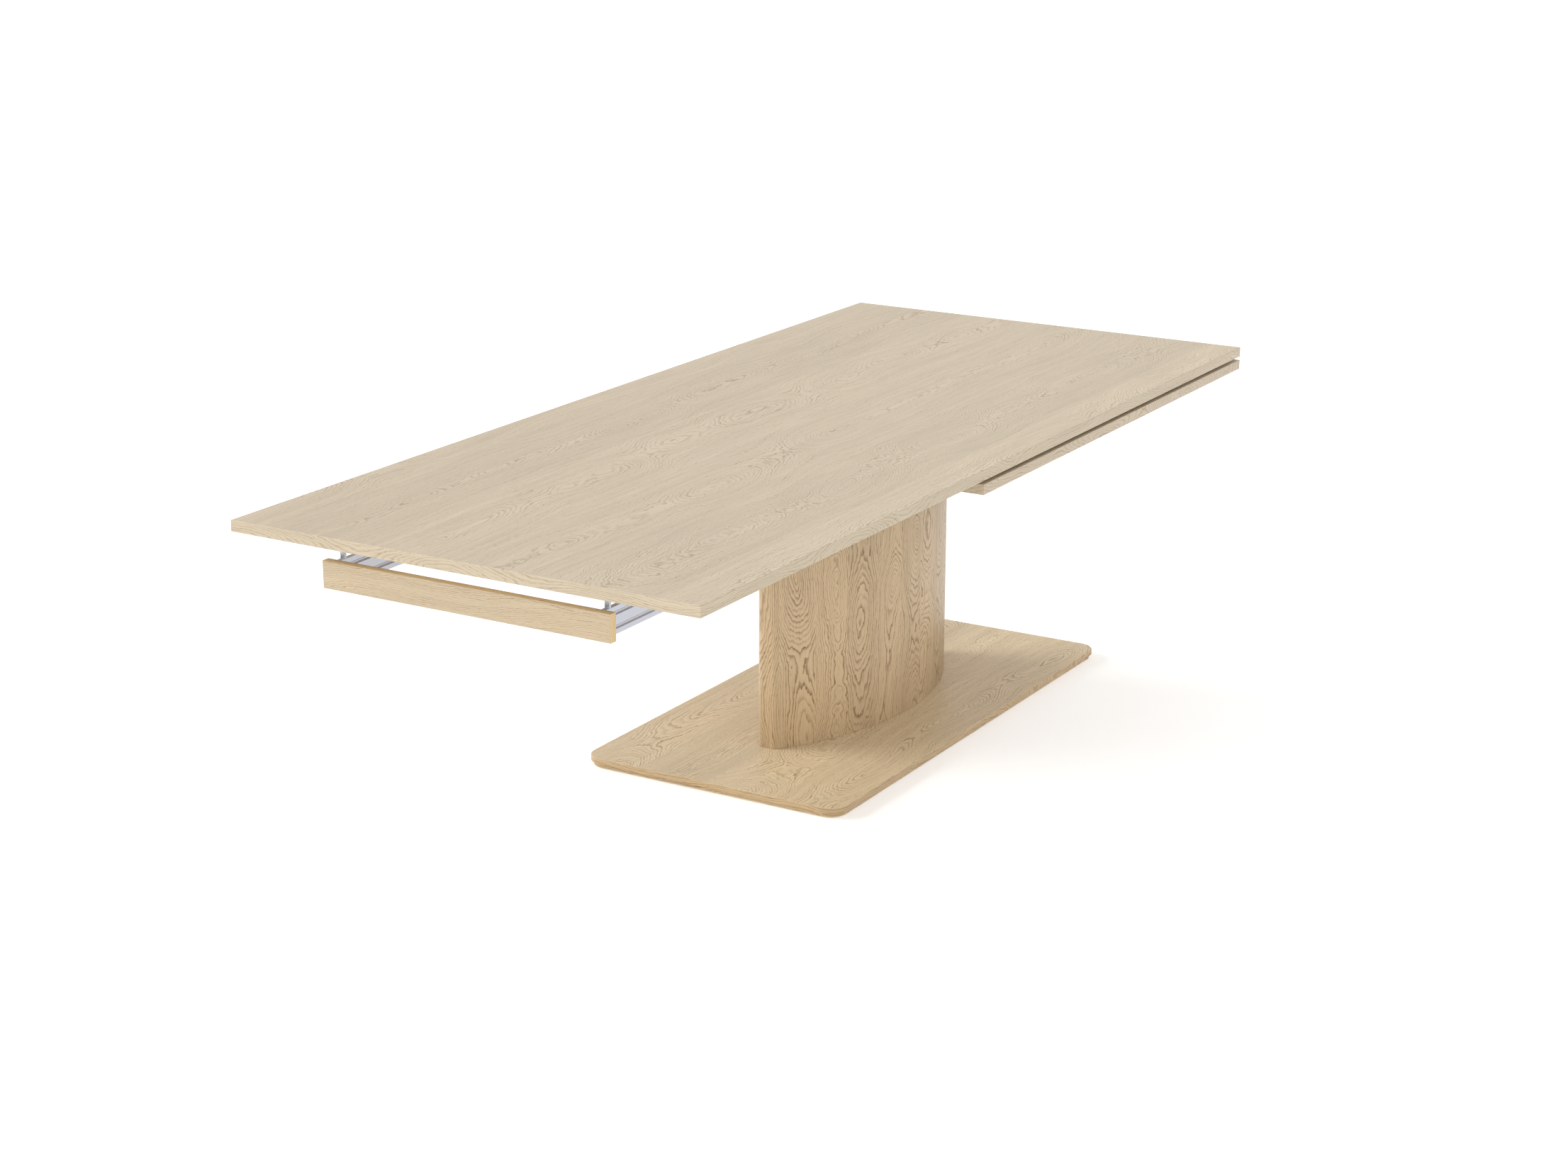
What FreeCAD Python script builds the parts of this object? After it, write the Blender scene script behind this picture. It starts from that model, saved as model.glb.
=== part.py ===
"""Pedestal dining table whose top and stored leaf run apart on geared rails.

X runs along the table: the front panel is at the low end, the leaf comes out at the high end.
Y runs across, Z up. The origin is on the floor, under the middle of the base plate.
The table stands part-way open: the top has moved one way and the leaf as far the other way.
"""
import FreeCAD, Part
import math
import os
import Sketcher

SIZES = (
    ("table_height", 750, "floor to the face of the top"),
    ("top_length", 2500, "top, along X"),
    ("top_width", 1080, "top and leaf, along Y"),
    ("top_thick", 24, "top board"),
    ("plate_gap", 8, "top board down to the leaf"),
    ("leaf_length", 1400, "leaf, along X"),
    ("leaf_thick", 23, "leaf board"),
    ("arris", 1.5, "rounding of the boards' edges"),
    ("base_length", 1306, "base plate, along X"),
    ("base_width", 655, "base plate, along Y"),
    ("base_corner", 45, "rounding of the base plate's corners"),
    ("base_upper_thick", 12.5, "upper base board"),
    ("base_lower_thick", 10, "lower base board"),
    ("base_felt_thick", 2.5, "felt under the base"),
    ("base_step", 6.5, "lower board set in from the upper one"),
    ("felt_inset", 6, "felt set in from the lower board"),
    ("column_length", 800, "column, along X"),
    ("column_width", 296, "column at its middle, along Y"),
    ("column_end_width", 40, "flat end face of the column"),
    ("column_end_thick", 28, "solid end piece of the column, along X"),
    ("column_corner", 14, "rounding beside the flat end face"),
    ("shell_thick", 16, "bent side of the column"),
    ("former_thick", 18, "plywood former"),
    ("former_play", 0.3, "former to the inside of the column's sides"),
    ("former_gap", 1, "upper former to the bolts under the head plate"),
    ("tube_side", 80, "square steel tube"),
    ("tube_wall", 4, "wall of the square tube"),
    ("tube_spacing", 340, "between the two tubes' middles"),
    ("plate_thick", 8, "foot plate and head plate"),
    ("foot_plate_length", 600, "foot plate, along X"),
    ("foot_plate_play", 6.44, "foot plate's corners to the inside of the column"),
    ("head_plate_length", 640, "head plate, along X"),
    ("head_plate_width", 130, "head plate, along Y"),
    ("crossbeam_height", 30, "cross beam tube, along Z"),
    ("crossbeam_width", 60, "cross beam tube, along X"),
    ("crossbeam_wall", 4, "wall of the cross beam"),
    ("crossbeam_spacing", 440, "between the cross beams' middles"),
    ("crossbeam_overhang", 10, "cross beam past the support beam"),
    ("beam_offset", 280, "middle plane to the middle of a support beam"),
    ("beam_thick", 20, "support beam, along Y"),
    ("rail_standoff", 21, "middle of the support beam to the rail's face, at least"),
    ("beam_height", 56, "support beam, along Z"),
    ("beam_length", 960, "support beam, along X"),
    ("rail_height", 54, "moving rail, along Z"),
    ("rail_thick", 11, "moving rail, along Y"),
    ("rail_band", 9.5, "flat band above and below the grooves"),
    ("groove_radius", 4, "rail groove"),
    ("groove_depth", 3.5, "rail groove"),
    ("rail_clear", 1, "top rail below the leaf"),
    ("rail_beam_drop", 4, "support beam's foot below the top rail's foot"),
    ("top_rail_start", 40, "near end of the top to the rail's end and the panel's back"),
    ("top_rail_end", 50, "far end of the top rail to the top's far end"),
    ("leaf_rail_reach", 440, "leaf rail out past the leaf's near end"),
    ("leaf_rail_end", 60, "leaf rail's far end to the leaf's far end"),
    ("panel_thick", 18, "front panel"),
    ("panel_width", 666, "front panel, along Y"),
    ("panel_drop", 1.5, "front panel below the rail's foot"),
    ("post_thick", 6, "post, along X"),
    ("post_width", 10, "post, along Y"),
    ("post_inset", 13.4, "panel's back to the near post's middle"),
    ("mid_post_inset", 490, "near end of the top to the middle post"),
    ("stiffener_thick", 6, "steel flat under the top"),
    ("stiffener_width", 44, "steel flat under the top"),
    ("stiffener_inset", 46, "end of the top to the steel flat"),
    ("stiffener_screw_near", 90, "near end of the steel flat to its first screw"),
    ("stiffener_screw_far", 60, "last screw to the far end of the steel flat"),
    ("bracket_leg", 30, "legs of the angle brackets"),
    ("bracket_thick", 3, "angle brackets"),
    ("bracket_height", 24, "panel brackets, along Z"),
    ("bracket_rise", 8, "panel bracket above the rail's foot"),
    ("leaf_bracket_width", 40, "leaf brackets, along X"),
    ("leaf_bracket_inset", 80, "first and last bracket's middle to the leaf's or rail's end"),
    ("leaf_screw_side", 18, "leaf bracket's screw from the rail's face"),
    ("tie_thick", 12, "tie between the leaf rails, along X"),
    ("tie_height", 36, "tie between the leaf rails, along Z"),
    ("tie_drop", 5, "tie below the leaf rail's head"),
    ("glide_length", 80, "glides on the support beams"),
    ("glide_edge", 1.5, "glide in from the rail's foot and head"),
    ("glide_face_play", 0.4, "glide to the rail's flat face"),
    ("glide_rib_play", 0.3, "glide's rib to the groove"),
    ("glide_channel", 2, "rack to the channel in the glide, above and below"),
    ("glide_channel_back", 1, "rack's teeth to the bottom of the channel"),
    ("glide_web", 1.5, "least glide between its channel and the support beam"),
    ("gear_module", 3, "racks and pinions"),
    ("pinion_teeth", 10, "fewest teeth of a pinion"),
    ("pressure_angle", 25, "racks and pinions, degrees"),
    ("addendum_share", 0.8, "tooth height outside the pitch line, in modules"),
    ("dedendum_share", 1, "tooth height inside the pitch line, in modules"),
    ("backlash", 0.3, "play along the pitch line"),
    ("rack_back", 2.5, "least solid rack behind the teeth"),
    ("rack_height", 14, "rack and pinion, along Z"),
    ("rack_rise", 20, "rack above the rail's foot"),
    ("rack_stop", 18, "solid stop past the pinion's middle at each end of the travel"),
    ("rack_stop_length", 20, "solid end of a rack"),
    ("axle_radius", 4, "pinion axle"),
    ("axle_play", 0.05, "axle in its bush, on the radius"),
    ("bush_wall", 2.5, "pinion bush"),
    ("bush_flange", 3.3, "bush past each face of the pinion"),
    ("bush_play", 0.4, "bush to the window in the beam"),
    ("window_half", 20, "window in the beam, least half of its length"),
    ("window_play", 2.5, "pinion's teeth to the end of the window, at least"),
    ("glide_pad_radius", 15, "pads between top and leaf"),
    ("glide_pad_play", 0.3, "pad above the leaf"),
    ("glide_pad_side", 400, "pads from the middle plane"),
    ("glide_pad_far", 100, "last pads to the top's far end"),
    ("glide_pad_near", 1100, "first pads to the top's far end"),
    ("pin_radius", 4, "pins that line up the leaf"),
    ("pin_reach", 12, "pin out of the leaf's end"),
    ("pin_root", 25, "pin inside the leaf"),
    ("pin_side", 378, "outer pins from the middle plane"),
    ("pin_hole_spare", 3, "pin hole in the top past the pin's tip"),
    ("pin_hole_play", 0.5, "pin hole in the top, on the radius"),
    ("screw_radius", 2, "wood screw shank"),
    ("screw_head_radius", 4.5, "wood screw head"),
    ("screw_head", 2.4, "wood screw head's height"),
    ("screw_bite", 14, "wood screw inside the wood"),
    ("base_screw_bite", 7.5, "wood screw inside the upper base board"),
    ("screw_hole_spare", 1, "hole past the tip of a wood screw"),
    ("bolt_radius", 4, "steel bolts"),
    ("bolt_head_radius", 7, "steel bolts' heads"),
    ("bolt_head", 5, "steel bolts' heads, along Z"),
    ("bolt_tail", 2, "bolt past its nut or short of a plate's face"),
    ("bolt_inset", 20, "bolts from the edges of a steel plate"),
    ("hole_play", 0.1, "screw or bolt in its hole, on the radius"),
)

CUT_SPARE = 1  # a cutter's reach past the face that it opens
FLANK_STEPS = 5  # stretches of curve up the side of a tooth
WELL_APART = 1  # far more than rounding, to tell one edge from another
TOGETHER = 1e-6

doc = FreeCAD.newDocument("extending_table")
sheet = doc.addObject("Spreadsheet::Sheet", "sizes")
nodes = []


class Size:
    """A number together with the sheet formula that it comes from."""

    def __init__(self, value, formula):
        self.value = float(value)
        self.formula = formula

    def joined(self, other, sign, result):
        return Size(result, "(" + self.formula + " " + sign + " " + other.formula + ")")

    def __add__(self, other):
        other = size(other)
        return self.joined(other, "+", self.value + other.value)

    def __sub__(self, other):
        other = size(other)
        return self.joined(other, "-", self.value - other.value)

    def __mul__(self, other):
        other = size(other)
        return self.joined(other, "*", self.value * other.value)

    def __truediv__(self, other):
        other = size(other)
        return self.joined(other, "/", self.value / other.value)

    def __neg__(self):
        return Size(-self.value, "(0 - " + self.formula + ")")

    def __radd__(self, other):
        return size(other) + self

    def __rsub__(self, other):
        return size(other) - self

    def __rmul__(self, other):
        return size(other) * self


def size(number):
    """The number itself if it is a Size already, else a Size that is a plain constant."""
    if isinstance(number, Size):
        return number
    return Size(number, repr(number))


def root(square):
    return Size(math.sqrt(square.value), "sqrt(" + square.formula + ")")


def tangent(degrees):
    return Size(math.tan(math.radians(degrees.value)), "tan(" + degrees.formula + " * 1deg)")


def rounded_up(number):
    return Size(math.ceil(number.value), "ceil(" + number.formula + ")")


def larger(first, second):
    return Size(max(first.value, second.value),
                "max(" + first.formula + "; " + second.formula + ")")


def bind(thing, name, number):
    thing.setExpression(name, size(number).formula)


class Dimensions:
    """The sheet's cells, one attribute for each alias."""


def fill_sheet():
    cells = Dimensions()
    for row, (alias, value, meaning) in enumerate(SIZES, start=1):
        sheet.set("A%d" % row, meaning)
        sheet.set("B%d" % row, str(value))
        sheet.setAlias("B%d" % row, alias)
        setattr(cells, alias, Size(value, "sizes." + alias))
    doc.recompute()
    return cells


d = fill_sheet()

# Heights, from the floor up.
base_lower_low = d.base_felt_thick
base_upper_low = base_lower_low + d.base_lower_thick
base_high = base_upper_low + d.base_upper_thick
top_low = d.table_height - d.top_thick
leaf_high = top_low - d.plate_gap
leaf_low = leaf_high - d.leaf_thick
leaf_rail_low = leaf_low - d.rail_height
top_rail_low = leaf_rail_low - d.rail_clear
top_rail_high = top_rail_low + d.rail_height
beam_low = top_rail_low - d.rail_beam_drop
beam_high = beam_low + d.beam_height
crossbeam_low = beam_low - d.crossbeam_height
column_high = crossbeam_low - d.plate_thick
foot_plate_high = base_high + d.plate_thick
rack_low = top_rail_low + d.rack_rise
pinion_low = rack_low + d.rail_clear / 2
pinion_high = pinion_low + d.rack_height

# Places along the table as it stands: top and leaf are level at the far end.
half_top = d.top_length / 2
half_leaf = d.leaf_length / 2
opened = (half_top - half_leaf) / 2
top_near = -opened - half_top
top_far = half_top - opened
leaf_near = opened - half_leaf
leaf_far = opened + half_leaf
top_rail_near = top_near + d.top_rail_start
top_rail_far = top_far - d.top_rail_end
leaf_rail_near = leaf_near - d.leaf_rail_reach
leaf_rail_far = leaf_far - d.leaf_rail_end
travel_left = (half_top + half_leaf) / 2 - opened

# Gears, and the rail's face behind the rack. A pinion reaches past the beam that it sits in,
# as far as the glide's web, its channel and the racks' teeth need.
tooth_pitch = d.gear_module * math.pi
addendum = d.gear_module * d.addendum_share
dedendum = d.gear_module * d.dedendum_share
beam_half = d.beam_thick / 2
least_pitch_radius = beam_half + d.glide_web + d.glide_channel_back + addendum
pinion_teeth = larger(d.pinion_teeth, rounded_up(least_pitch_radius * 2 / d.gear_module))
pitch_radius = d.gear_module * pinion_teeth / 2
rail_standoff = larger(d.rail_standoff, pitch_radius + dedendum + d.rack_back)
rack_depth = rail_standoff - pitch_radius + addendum

# Places across the table.
half_width = d.top_width / 2
top_rail_face = d.beam_offset + rail_standoff
top_rail_outer = top_rail_face + d.rail_thick
leaf_rail_face = d.beam_offset - rail_standoff
leaf_rail_inner = leaf_rail_face - d.rail_thick
beam_inner = d.beam_offset - beam_half
beam_outer = d.beam_offset + beam_half
rail_middle = top_rail_face + d.rail_thick / 2

# Plan of the column's sides: one arc for each.
column_half = d.column_length / 2
column_sag = (d.column_width - d.column_end_width) / 2
side_radius = (column_half * column_half + column_sag * column_sag) / (2 * column_sag)
side_centre = d.column_width / 2 - side_radius
side_joint = column_half - d.column_end_thick


def side_reach(x, radius):
    """How far from the middle plane an arc of the column's side is at a place along X."""
    return side_centre + root(radius * radius - x * x)


foot_plate_corner = side_reach(d.foot_plate_length / 2, side_radius - d.shell_thick)
foot_plate_width = 2 * (foot_plate_corner - d.foot_plate_play)


def node(label, thing):
    """Name a finished sub-part and put it on the list of those written out."""
    thing.Label = label
    nodes.append(thing)
    return thing


# Plain blocks and rods

def box(name, low, high):
    block = doc.addObject("Part::Box", name)
    for side, axis, start, end in zip(("Length", "Width", "Height"), "xyz", low, high):
        bind(block, side, size(end) - start)
        bind(block, "Placement.Base." + axis, start)
    return block


TURNS = {
    "x": FreeCAD.Rotation(FreeCAD.Vector(0, 1, 0), 90),
    "z": FreeCAD.Rotation(),
}


def rod(name, radius, start, length, along="z"):
    """A round bar from its start point, along X or Z."""
    bar = doc.addObject("Part::Cylinder", name)
    bar.Placement = FreeCAD.Placement(FreeCAD.Vector(), TURNS[along])
    bind(bar, "Radius", radius)
    bind(bar, "Height", length)
    for axis, place in zip("xyz", start):
        bind(bar, "Placement.Base." + axis, place)
    return bar


def bundle(name, things):
    """Several separate solids as one object."""
    group = doc.addObject("Part::Compound", name)
    group.Links = list(things)
    return group


def joined(name, things):
    whole = doc.addObject("Part::MultiFuse", name)
    whole.Shapes = list(things)
    whole.Refine = True
    return whole


def cut(name, base, tools):
    result = doc.addObject("Part::Cut", name)
    result.Base = base
    result.Tool = bundle(name + "_tools", tools)
    return result


def mirrored(label, source):
    """The same piece on the other side of the middle plane."""
    copy = doc.addObject("Part::Mirroring", label)
    copy.Source = source
    copy.Normal = FreeCAD.Vector(0, 1, 0)
    return node(label, copy)


# Screws and bolts: spots are the (x, y) places, all upright

def fasteners(label, spots, head_low, shank, shank_radius, head_radius, head):
    """Upright screws driven from below, each a head and a shank above it."""
    pieces = []
    for number, (x, y) in enumerate(spots, start=1):
        name = "%s_%d" % (label, number)
        cap = rod(name + "_head", head_radius, (x, y, head_low), head)
        stem = rod(name + "_shank", shank_radius, (x, y, head_low), shank)
        pieces.append(joined(name, (cap, stem)))
    return node(label, bundle(label, pieces))


def holes(name, spots, radius, low, high):
    """Upright round cutters at the same spots."""
    return [
        rod("%s_%d" % (name, number), radius, (x, y, low), size(high) - low)
        for number, (x, y) in enumerate(spots, start=1)
    ]


def both_sides(places, side):
    return [(x, y) for x in places for y in (-side, side)]


def shares(low, high, count):
    """Evenly spread places between two ends, the ends included."""
    step = (high - low) / (count - 1)
    return [low + step * number for number in range(count)]


# Sketched bodies

def origin_plane(body, role):
    return [feature for feature in body.Origin.OriginFeatures if feature.Role == role][0]


def arc_edge(start, end, radius, clockwise):
    """The smaller arc between two points."""
    middle = (start + end) * 0.5
    half = (end - start) * 0.5
    reach = math.sqrt(max(radius ** 2 - half.Length ** 2, 0))
    left = FreeCAD.Vector(-half.y, half.x, 0).normalize()
    centre = middle + left * (-reach if clockwise else reach)
    first, last = (end, start) if clockwise else (start, end)
    angles = [math.atan2(point.y - centre.y, point.x - centre.x) for point in (first, last)]
    circle = Part.Circle(centre, FreeCAD.Vector(0, 0, 1), radius)
    return Part.ArcOfCircle(circle, angles[0], angles[1])


def outline(body, name, role, corners):
    """A closed sketch through corners (u, v), or (u, v, radius, clockwise) after an arc.

    Every corner's two distances from the origin, and every arc's radius, follow the sheet.
    """
    sketch = body.newObject("Sketcher::SketchObject", name)
    sketch.AttachmentSupport = [(origin_plane(body, role), "")]
    sketch.MapMode = "FlatFace"
    add_loop(sketch, corners)
    return sketch


def add_loop(sketch, corners):
    points = [FreeCAD.Vector(size(c[0]).value, size(c[1]).value, 0) for c in corners]
    ends = []
    radii = []
    for number, corner in enumerate(corners):
        start, end = points[number - 1], points[number]
        if len(corner) == 2:
            edge = sketch.addGeometry(Part.LineSegment(start, end))
            ends.append((edge, 1, 2))
            continue
        radius, clockwise = corner[2:]
        edge = sketch.addGeometry(arc_edge(start, end, size(radius).value, clockwise))
        ends.append((edge, 2, 1) if clockwise else (edge, 1, 2))
        radii.append((edge, radius))
    for number, (edge, start, end) in enumerate(ends):
        following = ends[(number + 1) % len(ends)]
        sketch.addConstraint(Sketcher.Constraint("Coincident", edge, end, following[0], following[1]))
        for kind, place in zip(("DistanceX", "DistanceY"), corners[number]):
            fix = Sketcher.Constraint(kind, -1, 1, edge, end, size(place).value)
            bind(sketch, "Constraints[%d]" % sketch.addConstraint(fix), place)
    for edge, radius in radii:
        fix = Sketcher.Constraint("Radius", edge, size(radius).value)
        bind(sketch, "Constraints[%d]" % sketch.addConstraint(fix), radius)


def rectangle(u_low, u_high, v_low, v_high):
    return [(u_low, v_low), (u_high, v_low), (u_high, v_high), (u_low, v_high)]


def rounded_rectangle(half_u, half_v, radius):
    """Eight corners of a rectangle about the origin with round corners."""
    u, v = half_u - radius, half_v - radius
    return [
        (u, -half_v), (half_u, -v, radius, False), (half_u, v), (u, half_v, radius, False),
        (-u, half_v), (-half_u, v, radius, False), (-half_u, -v), (-u, -half_v, radius, False),
    ]


def padded(label, role, loops, length, place=(0, 0, 0)):
    """A body: one sketch of one or more loops, padded, and put in its place."""
    body = doc.addObject("PartDesign::Body", label)
    sketch = outline(body, label + "_outline", role, loops[0])
    for loop in loops[1:]:
        add_loop(sketch, loop)
    pad = body.newObject("PartDesign::Pad", label + "_pad")
    pad.Profile = sketch
    bind(pad, "Length", length)
    for axis, start in zip("xyz", place):
        bind(body, "Placement.Base." + axis, start)
    doc.recompute()
    return body


def edge_names(shape, wanted):
    return ["Edge%d" % number for number, edge in enumerate(shape.Edges, start=1) if wanted(edge)]


def eased(body, radius, wanted):
    """Round the edges that are wanted."""
    base = body.Tip
    rounding = body.newObject("PartDesign::Fillet", body.Name + "_rounding")
    rounding.Base = (base, edge_names(base.Shape, wanted))
    bind(rounding, "Radius", radius)
    doc.recompute()
    return body


def is_level(edge):
    return edge.BoundBox.ZLength < TOGETHER


def is_high_and_level(edge):
    """Level edges of the face that is furthest from the sketch."""
    return is_level(edge) and edge.BoundBox.ZMin > WELL_APART


# Base plate

def base_screw_spots():
    reach = d.base_length / 2 - d.base_corner - d.base_step
    side = d.base_width / 2 - d.base_corner
    spots = both_sides(shares(-reach, reach, 4), side)
    return spots + [(-reach, size(0)), (reach, size(0))]


def foot_bolt_spots():
    reach = d.foot_plate_length / 2 - d.bolt_inset
    side = foot_plate_width / 2 - d.bolt_inset
    return both_sides(shares(-reach, reach, 3), side)


def base_plate():
    half_length = d.base_length / 2
    half_side = d.base_width / 2
    upper = padded(
        "base_upper_blank", "XY_Plane",
        [rounded_rectangle(half_length, half_side, d.base_corner)],
        d.base_upper_thick, (0, 0, base_upper_low),
    )
    eased(upper, d.arris, is_high_and_level)
    screws = base_screw_spots()
    bolts = foot_bolt_spots()
    screw_top = base_upper_low + d.base_screw_bite
    screw_hole = d.screw_radius + d.hole_play
    bolt_hole = d.bolt_radius + d.hole_play
    upper_cuts = holes("base_upper_screw_hole", screws, screw_hole, base_upper_low,
                       screw_top + d.screw_hole_spare)
    upper_cuts += holes("base_upper_bolt_hole", bolts, bolt_hole, base_upper_low, base_high)
    node("base_upper_board", cut("base_upper_board", upper, upper_cuts))
    lower = padded(
        "base_lower_blank", "XY_Plane",
        [rounded_rectangle(half_length - d.base_step, half_side - d.base_step,
                           d.base_corner - d.base_step)],
        d.base_lower_thick, (0, 0, base_lower_low),
    )
    lower_cuts = holes("base_lower_screw_hole", screws, screw_hole, base_lower_low, base_upper_low)
    lower_cuts += holes("base_lower_bolt_hole", bolts, bolt_hole, base_lower_low, base_upper_low)
    lower_cuts += holes("base_screw_seat", screws, d.screw_head_radius + d.hole_play,
                        base_lower_low, base_lower_low + d.screw_head)
    lower_cuts += holes("foot_bolt_seat", bolts, d.bolt_head_radius + d.hole_play,
                        base_lower_low, base_lower_low + d.bolt_head)
    node("base_lower_board", cut("base_lower_board", lower, lower_cuts))
    inset = d.base_step + d.felt_inset
    node("base_felt", padded(
        "base_felt", "XY_Plane",
        [rounded_rectangle(half_length - inset, half_side - inset, d.base_corner - inset)],
        d.base_felt_thick,
    ))
    fasteners("base_screws", screws, base_lower_low, screw_top - base_lower_low,
              d.screw_radius, d.screw_head_radius, d.screw_head)
    fasteners("foot_bolts", bolts, base_lower_low, foot_plate_high - d.bolt_tail - base_lower_low,
              d.bolt_radius, d.bolt_head_radius, d.bolt_head)


# Column

def half_plates(length, width, low):
    """Corners of a plate about the vertical axis."""
    return (-length / 2, -width / 2, low), (length / 2, width / 2, low + d.plate_thick)


def tube_places():
    return (("near", -d.tube_spacing / 2), ("far", d.tube_spacing / 2))


def column_frame():
    """Steel core of the column: two plates with two square tubes between them."""
    bolt_hole = d.bolt_radius + d.hole_play
    foot = box("foot_plate_blank", *half_plates(d.foot_plate_length, foot_plate_width, base_high))
    foot_cuts = holes("foot_plate_hole", foot_bolt_spots(), bolt_hole, base_high, foot_plate_high)
    node("foot_plate", cut("foot_plate", foot, foot_cuts))
    head = box("head_plate_blank",
               *half_plates(d.head_plate_length, d.head_plate_width, column_high))
    head_cuts = holes("head_plate_hole", head_bolt_spots(), bolt_hole, column_high, crossbeam_low)
    node("head_plate", cut("head_plate", head, head_cuts))
    outer = d.tube_side / 2
    inner = outer - d.tube_wall
    for where, middle in tube_places():
        tube = padded(
            "steel_tube_" + where, "XY_Plane",
            [rectangle(-outer, outer, -outer, outer), rectangle(-inner, inner, -inner, inner)],
            column_high - foot_plate_high, (middle, 0, foot_plate_high),
        )
        node("steel_tube_" + where, tube)


def column_formers():
    """Plywood ribs that hold the sides in shape and slip over the steel tubes."""
    radius = side_radius - d.shell_thick - d.former_play
    end = side_joint
    reach = side_reach(end, radius)
    lens = [(end, reach), (-end, reach, radius, False), (-end, -reach),
            (end, -reach, radius, False)]
    hole = d.tube_side / 2 + d.former_play
    windows = [rectangle(middle - hole, middle + hole, -hole, hole) for _, middle in tube_places()]
    room_high = column_high - d.bolt_head - d.bolt_tail - d.former_gap - d.former_thick
    for where, share in (("lower", 0), ("middle", 0.5), ("upper", 1)):
        label = "column_former_" + where
        low = foot_plate_high + (room_high - foot_plate_high) * share
        node(label, padded(label, "XY_Plane", [lens] + windows, d.former_thick, (0, 0, low)))


def column_skin():
    """Two bent sides and two solid ends, standing on the base plate."""
    height = column_high - base_high
    inner_radius = side_radius - d.shell_thick
    outer_reach = side_reach(side_joint, side_radius)
    inner_reach = side_reach(side_joint, inner_radius)
    side = [
        (-side_joint, outer_reach), (side_joint, outer_reach, side_radius, True),
        (side_joint, inner_reach), (-side_joint, inner_reach, inner_radius, False),
    ]
    left = padded("column_side_left", "XY_Plane", [side], height, (0, 0, base_high))
    node("column_side_left", left)
    mirrored("column_side_right", left)
    half_end = d.column_end_width / 2
    end = [
        (side_joint, -outer_reach), (column_half, -half_end, side_radius, False),
        (column_half, half_end), (side_joint, outer_reach, side_radius, False),
    ]
    far = padded("column_end_far", "XY_Plane", [end], height, (0, 0, base_high))
    eased(far, d.column_corner, is_end_corner)
    node("column_end_far", far)
    near = doc.addObject("Part::Mirroring", "column_end_near")
    near.Source = far
    near.Normal = FreeCAD.Vector(1, 0, 0)
    node("column_end_near", near)


def is_end_corner(edge):
    """Upright edges beside the flat end face."""
    inner = side_joint.value + WELL_APART
    return edge.BoundBox.ZLength > WELL_APART and edge.BoundBox.XMin > inner


# Head: cross beams and support beams

def crossbeam_places():
    return (("near", -d.crossbeam_spacing / 2), ("far", d.crossbeam_spacing / 2))


def head_bolt_sides():
    side = d.head_plate_width / 2 - d.bolt_inset
    return (-side, side)


def head_bolt_spots():
    return [(middle, side) for _, middle in crossbeam_places() for side in head_bolt_sides()]


def beam_bolt_spots(side):
    return [(middle, side) for _, middle in crossbeam_places()]


def cross_beams():
    half_span = beam_outer + d.crossbeam_overhang
    half = d.crossbeam_width / 2
    wall = d.crossbeam_wall
    bolt_hole = d.bolt_radius + d.hole_play
    for where, middle in crossbeam_places():
        label = "cross_beam_" + where
        # The sketch is drawn on the XZ plane, whose pad runs towards -Y.
        tube = padded(
            label + "_tube", "XZ_Plane",
            [rectangle(-half, half, 0, d.crossbeam_height),
             rectangle(wall - half, half - wall, wall, d.crossbeam_height - wall)],
            2 * half_span, (middle, half_span, crossbeam_low),
        )
        spots = [(middle, side) for side in head_bolt_sides() + (-d.beam_offset, d.beam_offset)]
        node(label, cut(label, tube, holes(label + "_hole", spots, bolt_hole,
                                           crossbeam_low, beam_low)))


def upright_bolt(name, x, y, head_low, shank_low, shank_high, nut_low):
    """A bolt with its head on top, and its nut."""
    cap = rod(name + "_head", d.bolt_head_radius, (x, y, head_low), d.bolt_head)
    stem = rod(name + "_shank", d.bolt_radius, (x, y, shank_low), shank_high - shank_low)
    ring = rod(name + "_nut_ring", d.bolt_head_radius, (x, y, nut_low), d.bolt_head)
    bore = rod(name + "_nut_bore", d.bolt_radius + d.hole_play, (x, y, nut_low), d.bolt_head)
    return [joined(name, (cap, stem)), cut(name + "_nut", ring, [bore])]


def head_bolts():
    """Bolts through cross beam and head plate, nuts under the plate inside the column."""
    pieces = []
    for number, (x, y) in enumerate(head_bolt_spots(), start=1):
        pieces += upright_bolt("head_bolt_%d" % number, x, y, beam_low,
                               column_high - d.bolt_head - d.bolt_tail, beam_low,
                               column_high - d.bolt_head)
    node("head_bolts", bundle("head_bolts", pieces))


def beam_bolts():
    """Bolts through support beam and the cross beam's upper wall, nuts inside the tube."""
    pieces = []
    wall_low = beam_low - d.crossbeam_wall
    spots = beam_bolt_spots(d.beam_offset) + beam_bolt_spots(-d.beam_offset)
    for number, (x, y) in enumerate(spots, start=1):
        pieces += upright_bolt("beam_bolt_%d" % number, x, y, beam_high - d.bolt_head,
                               wall_low - d.bolt_head - d.bolt_tail, beam_high - d.bolt_head,
                               wall_low - d.bolt_head)
    node("beam_bolts", bundle("beam_bolts", pieces))


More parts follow.
